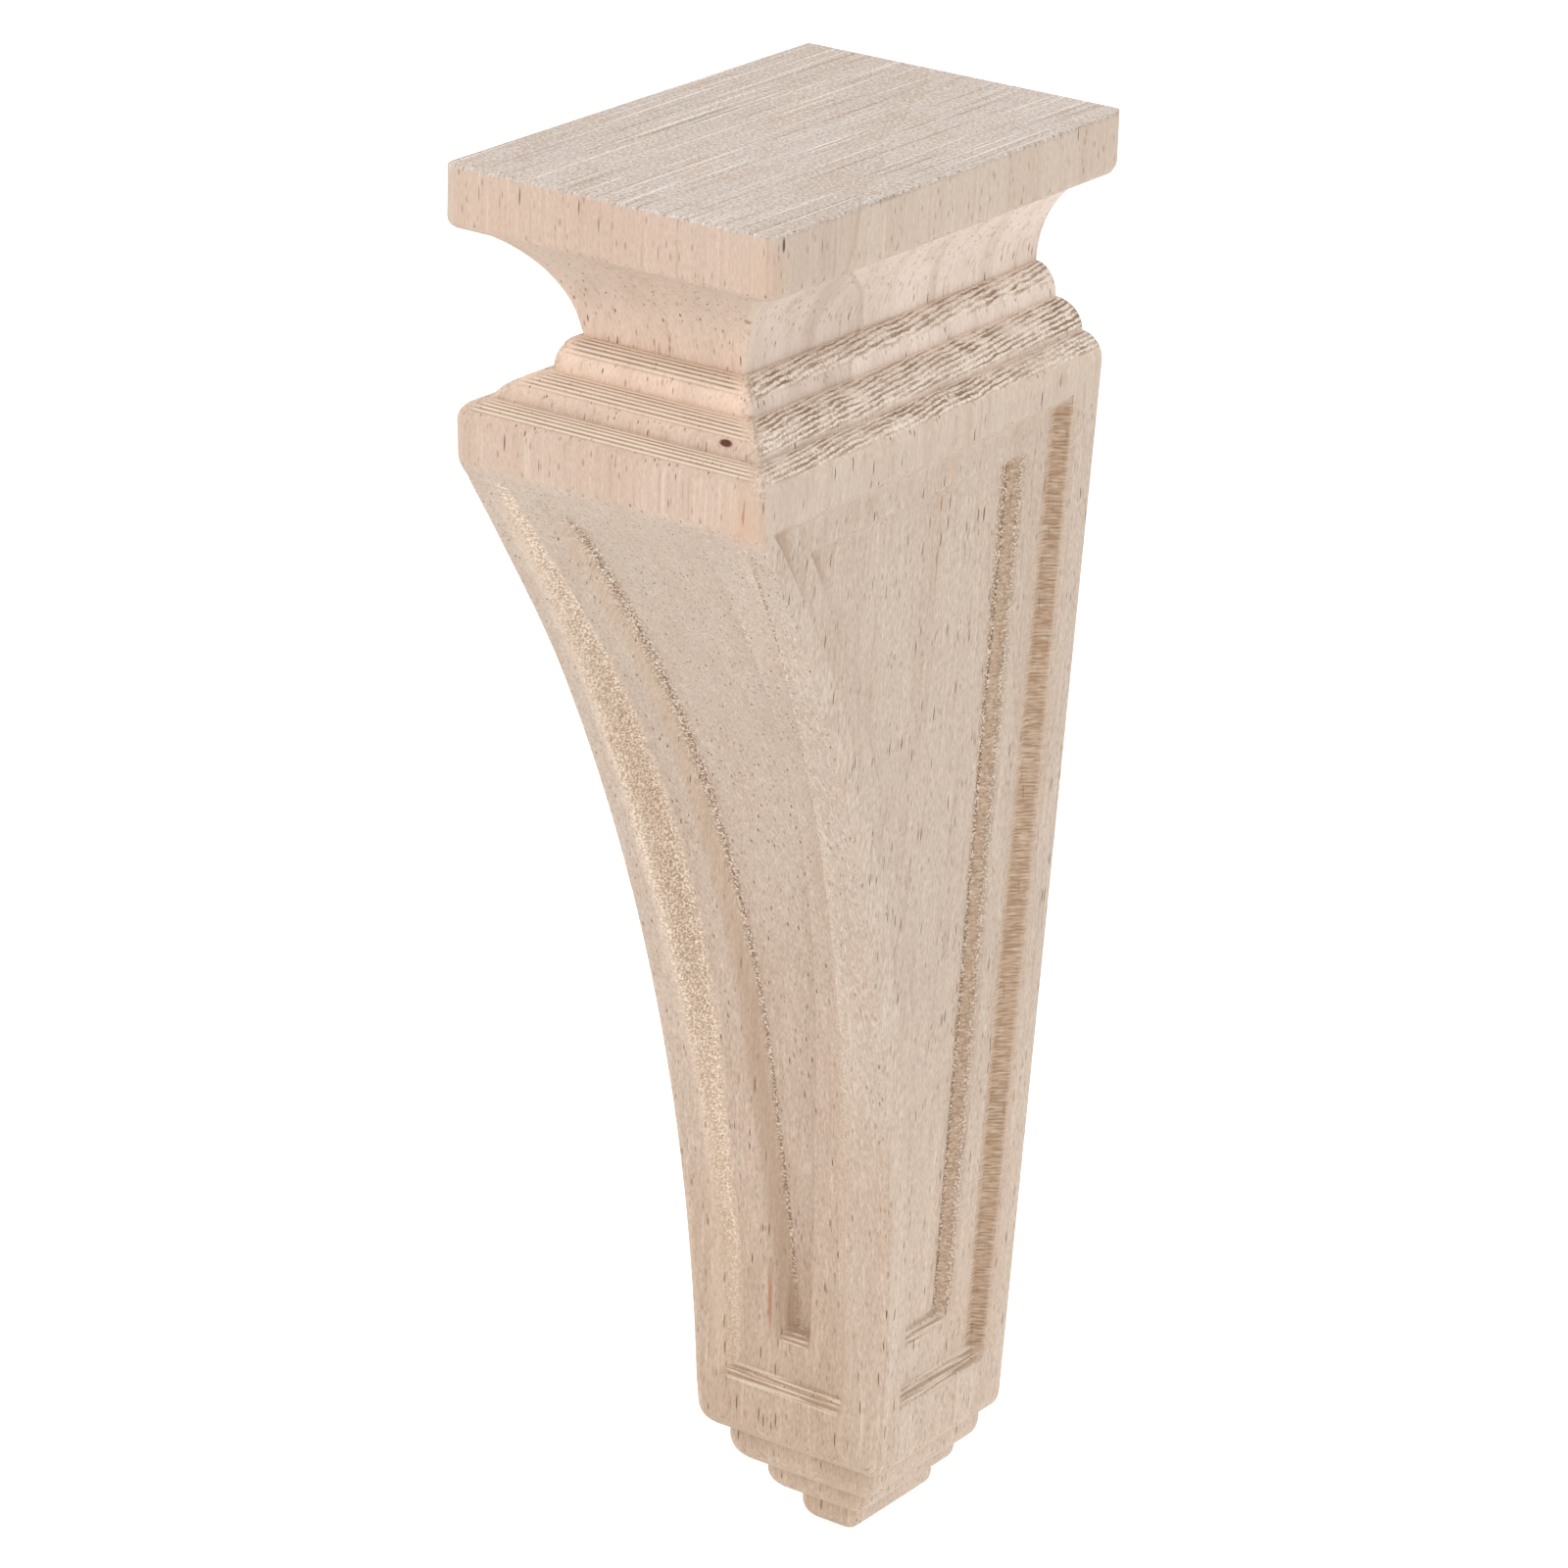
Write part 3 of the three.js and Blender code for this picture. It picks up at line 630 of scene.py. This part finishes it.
class Finish:
    """The wood's material being made, with its colour and its height in millimetres so far."""

    def __init__(self, name):
        self.material = bpy.data.materials.new(name)
        self.material.use_nodes = True
        self.tree = self.material.node_tree
        self.tree.nodes.clear()
        self.place = self.add("TexCoord").outputs["Object"]
        apart = self.add("SeparateXYZ")
        self.set(apart, 0, self.place)
        self.x, self.y, self.z = apart.outputs
        self.colour = self.height = None
        # How far a point is on the front, how low it is, and whether it is on the sawn top
        self.warm = self.mask("warm")
        self.low = self.levels(150, 290)
        self.crown = self.levels(0.9, 0.25)

    def add(self, kind, **settings):
        node = self.tree.nodes.new("ShaderNode" + kind)
        for key, value in settings.items():
            setattr(node, key, value)
        return node

    def set(self, node, socket, value):
        if isinstance(value, bpy.types.NodeSocket):
            self.tree.links.new(value, node.inputs[socket])
        else:
            node.inputs[socket].default_value = value

    def math(self, operation, *values):
        node = self.add("Math", operation=operation)
        for i, value in enumerate(values):
            self.set(node, i, value)
        return node.outputs[0]

    def times(self, *values):
        result = values[0]
        for value in values[1:]:
            result = self.math("MULTIPLY", result, value)
        return result

    def mask(self, name):
        return self.add("Attribute", attribute_name=name).outputs["Fac"]

    def ramp(self, value, start, end, low=0.0, high=1.0):
        node = self.add("MapRange", clamp=True)
        for socket, number in zip(("From Min", "From Max", "To Min", "To Max"), (start, end, low, high)):
            self.set(node, socket, number)
        self.set(node, "Value", value)
        return node.outputs["Result"]

    def levels(self, start, end, low=0.0, high=1.0):
        """A ramp from one level to another."""
        return self.ramp(self.z, (TOP - start) * MM, (TOP - end) * MM, low, high)

    def scaled(self, sizes, turn=(0, 0, 0)):
        """Object coordinates on which one unit is a size in millimetres along each axis."""
        node = self.add("Mapping")
        self.set(node, "Vector", self.place)
        self.set(node, "Rotation", tuple(math.radians(a) for a in turn))
        self.set(node, "Scale", tuple(1 / (size * MM) for size in sizes))
        return node.outputs["Vector"]

    def noise(self, sizes, detail=2.0, rough=0.5, turn=(0, 0, 0)):
        node = self.add("TexNoise")
        self.set(node, "Vector", self.scaled(sizes, turn))
        for socket, value in (("Scale", 1.0), ("Detail", detail), ("Roughness", rough)):
            self.set(node, socket, value)
        return node.outputs["Fac"]

    def vessels(self, across, along, radius, share):
        """Pores: slim upright cells, dots where the surface cuts across the grain and dashes along it."""
        node = self.add("TexVoronoi")
        self.set(node, "Vector", self.scaled((across, across, along)))
        self.set(node, "Scale", 1.0)
        near = self.ramp(node.outputs["Distance"], radius, radius * 0.55)
        apart = self.add("SeparateColor")
        self.set(apart, 0, node.outputs["Color"])
        return self.times(near, self.ramp(apart.outputs[0], 1 - share, 1 - share * 0.4))

    def tint(self, base, factor, colour, blend="MIX"):
        node = self.add("Mix", data_type="RGBA", blend_type=blend)
        self.set(node, "Factor", factor)
        for socket, value in (("A", base), ("B", colour)):
            sockets = [i for i in node.inputs if i.name == socket and i.type == "RGBA"]
            if isinstance(value, bpy.types.NodeSocket):
                self.tree.links.new(value, sockets[0])
            else:
                sockets[0].default_value = (*value, 1.0)
        return [o for o in node.outputs if o.type == "RGBA"][0]

    def spot(self, centre, sizes, soft=0.4):
        """A blemish: 1 inside an ellipsoid round a point in millimetres, falling to 0 at its edge."""
        node = self.add("Mapping")
        self.set(node, "Vector", self.place)
        self.set(node, "Location", tuple(-c / size for c, size in zip(centre, sizes)))
        self.set(node, "Scale", tuple(1 / (size * MM) for size in sizes))
        length = self.add("VectorMath", operation="LENGTH")
        self.set(length, 0, node.outputs["Vector"])
        return self.ramp(length.outputs["Value"], 1.0, 1.0 - soft)

    def lay(self, tone, *factors, blend="MIX"):
        """Lays a tone over the colour so far, by the product of the factors."""
        self.colour = self.tint(self.colour, self.times(*factors), tone, blend)

    def add_height(self, *factors):
        height = self.times(*factors)
        self.height = height if self.height is None else self.math("ADD", self.height, height)

    def finish(self):
        """Joins the colour and the height to the shader."""
        bump = self.add("Bump")
        self.set(bump, "Distance", MM)
        self.set(bump, "Strength", 1.0)
        self.set(bump, "Height", self.height)
        shader = self.add("BsdfPrincipled")
        self.set(shader, "Base Color", self.colour)
        self.set(shader, "Roughness", WOOD_ROUGHNESS)
        self.set(shader, "Specular IOR Level", WOOD_SPECULAR)
        self.set(shader, "Normal", bump.outputs[0])
        output = self.add("OutputMaterial")
        self.set(output, "Surface", shader.outputs[0])
        return self.material


# Tones of the bare wood, as linear colour
GREY_TONE = (0.54, 0.438, 0.358)
PEACH_TONE = (0.53, 0.396, 0.313)
LOW_TONE = (0.455, 0.325, 0.228)
TOP_TONE = (0.53, 0.455, 0.405)
PORE_TONE = (0.18, 0.088, 0.042)
STREAK_TONE = (0.40, 0.27, 0.185)
PALE_TONE = (0.72, 0.61, 0.50)
FIBRE_TONE = (0.84, 0.73, 0.62)
BROWN_TONE = (0.37, 0.25, 0.165)
GOLD_TONE = (0.62, 0.475, 0.345)
RUNG_TONE = (0.46, 0.315, 0.21)
COMB_TONE = (0.33, 0.21, 0.125)
TEAR_TONE = (0.29, 0.18, 0.105)
EDGE_TONE = (0.20, 0.115, 0.065)
ORANGE_TONE = (0.56, 0.36, 0.24)
RED_TONE = (0.33, 0.13, 0.06)
DARK_TONE = (0.05, 0.022, 0.012)
COOL_TONE = (0.525, 0.45, 0.40)
BAND_TONE = (0.46, 0.335, 0.255)
HONEY_TONE = (0.50, 0.35, 0.225)
SEAM_SIDE_TONE = (0.42, 0.33, 0.265)
FINE_PORE_TONE = (0.24, 0.14, 0.08)
SAW_DARK_TONE, SAW_PALE_TONE = (0.30, 0.215, 0.165), (0.76, 0.70, 0.64)
GRIT_DARK_TONE, GRIT_PALE_TONE = (0.32, 0.24, 0.19), (0.72, 0.67, 0.61)
GROOVE_TONE = (0.34, 0.232, 0.16)
KNOT_TONE = (0.11, 0.03, 0.012)
WOOD_ROUGHNESS, WOOD_SPECULAR = 0.72, 0.3

# The seam between two laminations: the direction across it, where it crosses the top, and how far it sways
SEAM_ACROSS = (0.897, 0.443, -0.1)
SEAM_AT_TOP, SEAM_SWAY = -7.0, 2.2
SEAM_LEVELS = (58, 44)

# Sizes in millimetres of the noise behind the fine marks, along each axis
LEVEL_LINES, SPECKS, TEARS, RAG = (11, 11, 0.5), (0.52, 0.52, 0.44), (0.5, 0.45, 1.2), (0.8, 3.2, 0.8)

# Blemishes, each where the photograph has it: centre, half sizes, and then tone and strength
KNOT, KNOT_SIZES, KNOT_HALO = (23.1, -110.3, 111.5), (1.5, 1.6, 0.65), (2.6, 2.0, 1.2)
ORANGE_PATCHES = (
    ((32.0, -116.0, 98.0), (8, 5, 11), 0.6),
    ((36.0, -116.0, 148.0), (5, 5, 9), 0.4),
    ((-26.0, -117.0, 147.0), (12, 4, 9), 0.25),
    ((32.0, -47.0, 92.0), (7, 1.3, 17), 0.5),
)
DARK_MARKS = (
    ((21.6, -102.3, 132.8), (0.9, 1.1, 0.7), BROWN_TONE, 0.9),
    ((38.0, -114.9, 153.6), (0.8, 0.5, 1.7), DARK_TONE, 0.85),
    ((31.3, -116.4, 100.0), (0.5, 1.2, 2.6), RED_TONE, 0.8),
    ((-6.2, -42.4, -97.0), (0.7, 3.0, 11.5), RED_TONE, 0.7),
    ((-5.0, -39.8, -97.5), (0.35, 3.0, 5.5), DARK_TONE, 0.8),
    ((-2.6, -40.0, -100.5), (1.6, 3.5, 9.0), BROWN_TONE, 0.7),
)


def base_tone(wood):
    """Greyish on the sides, warmer on the front, golden low down and paler on the top, then painted light and
    shade by region.
    """
    wood.colour = wood.tint(GREY_TONE, wood.warm, PEACH_TONE)
    wood.lay(LOW_TONE, wood.low, wood.ramp(wood.warm, 0, 1, 0.25, 1.35))
    wood.lay(TOP_TONE, wood.crown)
    # Painted light and shade: the wood is painted paler or darker by region, and cooler where the sides are
    # painted paler
    lift = wood.mask("lift")
    wood.lay(COOL_TONE, wood.ramp(lift, 0.1, 0.45), wood.ramp(wood.warm, 0.1, 0), 0.8)
    wood.lay(wood.math("ADD", lift, 1.0), 1.0, blend="MULTIPLY")


def figure(wood):
    """Broad patches and upright bands, thin streaks, and fine grain."""
    patch = wood.noise((17, 17, 40), detail=1)
    wood.lay(GREY_TONE, wood.ramp(patch, 0.4, 0.7, 0, 0.35))
    bands = wood.noise((6, 6, 200), detail=1)
    wood.lay(BAND_TONE, wood.ramp(bands, 0.48, 0.7, 0, 0.35))
    streaks = wood.noise((1.0, 1.0, 38), rough=0.6)
    wood.lay(STREAK_TONE, wood.ramp(streaks, 0.57, 0.7, 0, 0.4))
    wood.lay(PALE_TONE, wood.ramp(streaks, 0.44, 0.28, 0, 0.3))
    grain = wood.noise((0.34, 0.34, 1.4), detail=1, rough=0.6)
    wood.lay(wood.ramp(grain, 0.28, 0.72, 0.83, 1.17), wood.levels(58, 66, 0.55, 1.0), blend="MULTIPLY")
    wood.add_height(grain, 0.09)
    honey = wood.noise((11, 11, 60), detail=1)
    wood.lay(HONEY_TONE, wood.low, wood.ramp(honey, 0.42, 0.62, 0, 0.3), wood.warm)


def lamination_seam(wood):
    """A thin line down the side of the head, with greyer wood in front of it."""
    seam = wood.ramp(wood.noise((30, 30, 22), detail=0), 0.2, 0.8, -SEAM_SWAY * MM, SEAM_SWAY * MM)
    for axis, share in zip((wood.x, wood.y, wood.z), SEAM_ACROSS):
        seam = wood.math("ADD", seam, wood.times(axis, share))
    seam_at = (SEAM_AT_TOP + SEAM_ACROSS[2] * TOP) * MM
    upper = wood.levels(*SEAM_LEVELS)
    front_side = wood.ramp(seam, seam_at + 0.3 * MM, seam_at)
    wood.lay(SEAM_SIDE_TONE, upper, front_side, wood.math("SUBTRACT", 1.0, wood.warm), 0.25)
    off_seam = wood.math("ABSOLUTE", wood.math("SUBTRACT", seam, seam_at))
    wood.lay(STREAK_TONE, upper, wood.ramp(off_seam, 0.55 * MM, 0.1 * MM), 0.25)


def pores(wood):
    broad = wood.vessels(1.15, 14, 0.155, 0.95)
    fine = wood.vessels(0.95, 4.0, 0.25, 0.65)
    wood.lay(FINE_PORE_TONE, fine, 0.55)
    wood.lay(PORE_TONE, broad, 0.95)
    wood.add_height(broad, -0.15)
    wood.add_height(fine, -0.06)


def sawn_top(wood):
    """Saw lines along the depth of the top, and grit over them."""
    lines = wood.noise((0.6, 50, 60), rough=0.55)
    wood.lay(SAW_DARK_TONE, wood.crown, wood.ramp(lines, 0.6, 0.68, 0, 0.75))
    wood.lay(SAW_PALE_TONE, wood.crown, wood.ramp(lines, 0.4, 0.32, 0, 0.9))
    wood.add_height(wood.crown, lines, -0.3)
    grit = wood.noise((0.5, 0.9, 0.5), detail=1)
    wood.lay(GRIT_DARK_TONE, wood.crown, wood.ramp(grit, 0.55, 0.72, 0, 0.7))
    wood.lay(GRIT_PALE_TONE, wood.crown, wood.ramp(grit, 0.44, 0.3, 0, 0.7))


def even_ridges(wood):
    """The cutter's ridges on the front of the ovolos: painted shade in the grooves and a painted highlight on
    the crests.
    """
    even = wood.mask("even")
    wave = wood.math("COSINE", wood.times(wood.mask("ridge"), 2 * math.pi))
    lines = wood.noise(LEVEL_LINES, detail=1)
    # Painted shade along the grooves and a painted highlight along the crests
    wood.lay(GROOVE_TONE, even, wood.ramp(wave, 0.2, -0.8), wood.ramp(lines, 0.3, 0.6, 0.55, 1.0))
    wood.lay(PALE_TONE, even, wood.ramp(wave, 0.0, 0.7), 0.95)


def torn_ridges(wood):
    """The torn ridges on the sides of the ovolos, dark in the grooves and pale on the crests, partly torn
    fibre and partly painted shade and highlight; and torn fibres along their mitred corners, with painted
    shade in their cracks.
    """
    torn = wood.mask("torn")
    rag, worn = wood.noise(RAG, rough=0.6), wood.noise((4, 6, 2.5), detail=1)
    tears = wood.noise(TEARS, detail=1)
    phase = wood.math("ADD", wood.mask("ridge"), wood.ramp(rag, 0.2, 0.8, -0.34, 0.34))
    wave = wood.math("COSINE", wood.times(phase, 2 * math.pi))
    groove = wood.times(torn, wood.ramp(wave, -0.2, -0.8), wood.ramp(worn, 0.38, 0.56, 0.2, 1.0))
    wood.lay(BROWN_TONE, torn, wood.ramp(worn, 0.48, 0.62, 0, 0.3))
    wood.lay(FIBRE_TONE, torn, wood.ramp(tears, 0.5, 0.6), 0.9)
    wood.lay(BROWN_TONE, torn, wood.ramp(tears, 0.45, 0.35), 0.5)
    # Partly painted shade along the grooves of the torn ridges, and a painted highlight on their crests
    wood.lay(TEAR_TONE, groove, 0.95)
    wood.lay(FIBRE_TONE, torn, wood.ramp(wave, 0.2, 0.8), wood.ramp(tears, 0.4, 0.55, 0.4, 1.0), 0.9)
    wood.add_height(groove, -0.3)
    wood.add_height(torn, tears, 0.25)
    mitre = wood.mask("mitre")
    # Brown along the mitres, partly painted shade in their cracks
    wood.lay(BROWN_TONE, mitre, wood.ramp(rag, 0.48, 0.64), 0.75)
    wood.lay(PALE_TONE, mitre, wood.ramp(tears, 0.5, 0.65), 0.6)


def side_wall_tones(wood):
    """The walls at the back of the side panels: both brown, partly burn and partly painted shade, the outer
    one crossed by the cutter's fine lines.
    """
    rungs, burnt = wood.mask("rungs"), wood.mask("burnt")
    ladder = wood.noise((3.0, 3.0, 0.45), detail=1, rough=0.6)
    spaced = wood.math("COSINE", wood.times(wood.z, 2 * math.pi / (RUNG_SPACING * MM)))
    ladder = wood.math("ADD", ladder, wood.times(spaced, 0.06))
    bits = wood.noise((1.3, 1.3, 0.55), rough=0.65)
    # Both walls painted brown, partly burn and partly painted shade
    wood.lay(RUNG_TONE, rungs, 0.9)
    wood.lay(COMB_TONE, rungs, wood.ramp(ladder, 0.49, 0.38, 0, 0.75))
    wood.lay(PALE_TONE, rungs, wood.ramp(ladder, 0.56, 0.66, 0, 0.4))
    wood.lay(RUNG_TONE, burnt, 0.75)
    wood.lay(COMB_TONE, burnt, wood.ramp(bits, 0.46, 0.34, 0, 0.7))
    wood.lay(PALE_TONE, burnt, wood.ramp(bits, 0.55, 0.64), 0.5)
    wood.add_height(rungs, ladder, 0.5)
    wood.add_height(burnt, bits, 0.6)


def combed_band(wood, specks):
    """The front panel's walls: golden tone with painted light, combed fibres at the outer one's foot, and
    painted shade in brown at the inner.
    """
    comb = wood.mask("comb")
    # Golden tone and painted light on the front panel's walls
    wood.lay(GOLD_TONE, wood.mask("wall"), 0.4)
    wood.lay(GOLD_TONE, comb, 0.6)
    specked = wood.ramp(comb, 0, 0.45)
    wood.lay(FIBRE_TONE, specked, wood.ramp(specks, 0.47, 0.37), 0.9)
    wood.lay(COMB_TONE, specked, wood.ramp(specks, 0.54, 0.62), 0.45)
    wood.lay(COMB_TONE, wood.math("POWER", comb, 3.0), wood.ramp(specks, 0.48, 0.56), 0.5)
    wood.add_height(comb, specks, 0.5)
    # Painted shade in brown: the side panels' upper corners and beside the front panel's inner wall
    wood.lay(BROWN_TONE, wood.mask("shade"), 0.8)


def ragged_lines(wood, specks):
    """Ragged lines along the panels' walls, and the dotted one high on the right of the front."""
    edge, dots = wood.mask("edge"), wood.mask("dots")
    wood.lay(EDGE_TONE, edge, wood.ramp(wood.warm, 0.1, 0.5, 0.9, 0.75), wood.ramp(specks, 0.45, 0.56))
    wood.lay(FIBRE_TONE, edge, wood.ramp(specks, 0.46, 0.38), 0.8)
    wood.add_height(edge, specks, 0.4)
    wood.lay(COMB_TONE, dots, wood.ramp(specks, 0.52, 0.6), 0.95)
    wood.lay(FIBRE_TONE, dots, wood.ramp(specks, 0.45, 0.38), 0.7)


def borders_and_sills(wood):
    """Marks swept across the front borders, and lines across the sloped lower ends of the panels."""
    strip, sill = wood.mask("strip"), wood.mask("sill")
    wood.lay(GREY_TONE, strip, wood.warm, 0.5)
    swept = wood.noise((0.5, 0.8, 2.2), detail=1, rough=0.6, turn=(0, 25, 0))
    wood.lay(PALE_TONE, strip, wood.ramp(swept, 0.5, 0.64), 0.32)
    wood.lay(STREAK_TONE, strip, wood.ramp(swept, 0.42, 0.3), 0.3)
    lines = wood.noise((16, 16, 0.45), detail=1)
    wood.lay(COMB_TONE, sill, wood.ramp(lines, 0.5, 0.57, 0.05, 0.6))
    wood.lay(PALE_TONE, sill, wood.ramp(lines, 0.48, 0.42), 0.7)
    wood.add_height(sill, wood.noise(LEVEL_LINES, detail=1), -0.4)


def blemishes(wood):
    """The knot with its red halo, orange patches and dark marks."""
    knot = wood.spot(KNOT, KNOT_SIZES)
    wood.lay(RED_TONE, wood.spot(KNOT, KNOT_HALO, 0.9), 0.6)
    wood.lay(KNOT_TONE, knot)
    wood.add_height(knot, -0.9)
    for centre, sizes, strength in ORANGE_PATCHES:
        wood.lay(ORANGE_TONE, wood.spot(centre, sizes, 1.0), strength)
    for centre, sizes, tone, strength in DARK_MARKS:
        wood.lay(tone, wood.spot(centre, sizes), strength)


def rubberwood():
    wood = Finish("bare_rubberwood")
    specks = wood.noise(SPECKS, detail=1, rough=0.6)
    base_tone(wood)
    figure(wood)
    lamination_seam(wood)
    pores(wood)
    sawn_top(wood)
    even_ridges(wood)
    torn_ridges(wood)
    side_wall_tones(wood)
    combed_band(wood, specks)
    ragged_lines(wood, specks)
    borders_and_sills(wood)
    blemishes(wood)
    return wood.finish()


piece = corbel()
piece.data.materials.append(rubberwood())
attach(piece, "root")
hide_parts("corbel")

# Floor: a pale sheet under the tip of the foot, lit from within. Its lengths are in metres
FLOOR_HALF, FLOOR_GAP = 8.0, 0.0005
PAPER_SHADE, PAPER_GLOW = 0.5, 0.72
floor_bm = bmesh.new()
bmesh.ops.create_grid(floor_bm, x_segments=1, y_segments=1, size=FLOOR_HALF)
floor_mesh = bpy.data.meshes.new("floor")
floor_bm.to_mesh(floor_mesh)
floor_bm.free()
floor_mesh.transform(Matrix.Translation((0, 0, low[2] - FLOOR_GAP)))
floor = bpy.data.objects.new("floor", floor_mesh)
bpy.context.scene.collection.objects.link(floor)
paper = bpy.data.materials.new("white_paper")
paper.use_nodes = True
shader = paper.node_tree.nodes["Principled BSDF"]
shader.inputs["Base Color"].default_value = (PAPER_SHADE, PAPER_SHADE, PAPER_SHADE, 1)
shader.inputs["Emission Color"].default_value = (1, 1, 1, 1)
shader.inputs["Emission Strength"].default_value = PAPER_GLOW
floor.data.materials.append(paper)

# Camera: the photograph's view, solved from the plate's corners
AZIMUTH, ELEVATION, ROLL = (math.radians(a) for a in (34.67, 21.25, 1.94))
TARGET = Vector((-16.4, -30.4, 9.9)) * MM
DISTANCE = 1308.6 * MM
FOCAL_PIXELS, FRAME_PIXELS, SENSOR = 6550.0, 1600.0, 36.0
CLIP_END = 50
back = Vector((
    math.sin(AZIMUTH) * math.cos(ELEVATION),
    -math.cos(AZIMUTH) * math.cos(ELEVATION),
    math.sin(ELEVATION),
))
right = Vector((math.cos(AZIMUTH), math.sin(AZIMUTH), 0))
up = back.cross(right)
turned_right = math.cos(ROLL) * right + math.sin(ROLL) * up
turned_up = math.cos(ROLL) * up - math.sin(ROLL) * right
camera = bpy.data.objects.new("camera", bpy.data.cameras.new("camera"))
camera.data.sensor_width = SENSOR
camera.data.lens = SENSOR * FOCAL_PIXELS / FRAME_PIXELS
camera.data.clip_end = CLIP_END
place = Matrix((turned_right, turned_up, back)).transposed().to_4x4()
place.translation = TARGET + back * DISTANCE
camera.matrix_world = place
bpy.context.scene.collection.objects.link(camera)
bpy.context.scene.camera = camera

# Light: white all round, and one large lamp above, ahead and to the left
WORLD_STRENGTH = 1.09
LAMP_PLACE, LAMP_SIZE, LAMP_POWER = (-1.0, -1.5, 1.9), 2.4, 20
world = bpy.data.worlds.new("studio")
world.use_nodes = True
world.node_tree.nodes["Background"].inputs["Color"].default_value = (1, 1, 1, 1)
world.node_tree.nodes["Background"].inputs["Strength"].default_value = WORLD_STRENGTH
bpy.context.scene.world = world
bpy.context.scene.view_settings.view_transform = "Standard"


def area_light(name, place, size, power):
    light = bpy.data.lights.new(name, "AREA")
    light.size = size
    light.energy = power
    lamp = bpy.data.objects.new(name, light)
    lamp.matrix_world = Vector(place).to_track_quat("Z", "Y").to_matrix().to_4x4()
    lamp.location = place
    bpy.context.scene.collection.objects.link(lamp)


area_light("key", LAMP_PLACE, LAMP_SIZE, LAMP_POWER)
